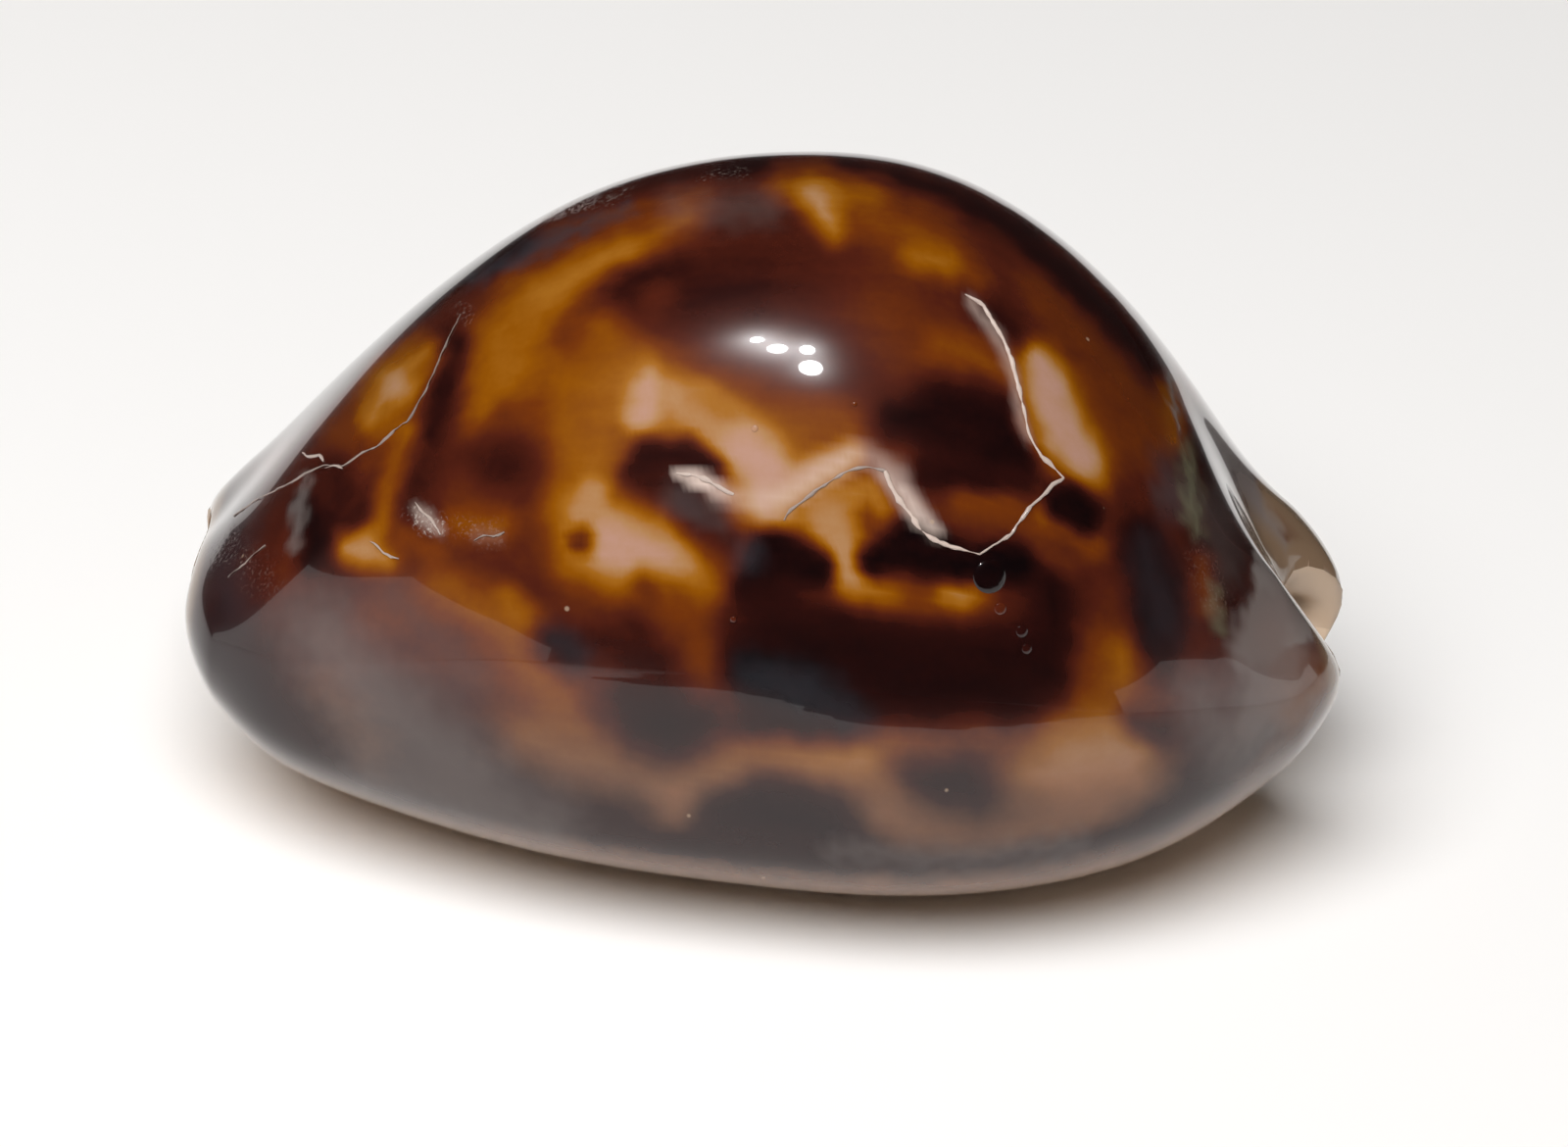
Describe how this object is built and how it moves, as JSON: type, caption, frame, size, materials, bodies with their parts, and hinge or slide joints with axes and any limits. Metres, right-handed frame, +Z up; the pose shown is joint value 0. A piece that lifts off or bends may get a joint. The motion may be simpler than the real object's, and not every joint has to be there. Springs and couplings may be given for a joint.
{
  "type": "cowrie shell",
  "caption": "Egg-shaped cowrie shell with a high glossy back, resting on its base, which has a long curved slit with a row of fine teeth on each lip and a canal at each end.",
  "frame": {"origin": "under the middle of the shell's bounding box, on the surface that it rests on", "axes": "+X towards the rear (spire) end, -X towards the front end, -Y towards the spire side that the picture shows, +Y towards the outer lip, +Z up"},
  "size_m": [0.07, 0.0476, 0.0391],
  "materials": {
    "glazed_shell": "natural high-gloss glaze, dark brown blotches on amber and pinkish tan"
  },
  "bodies": {
    "root": {"shell": "glazed_shell"}
  },
  "joints": []
}
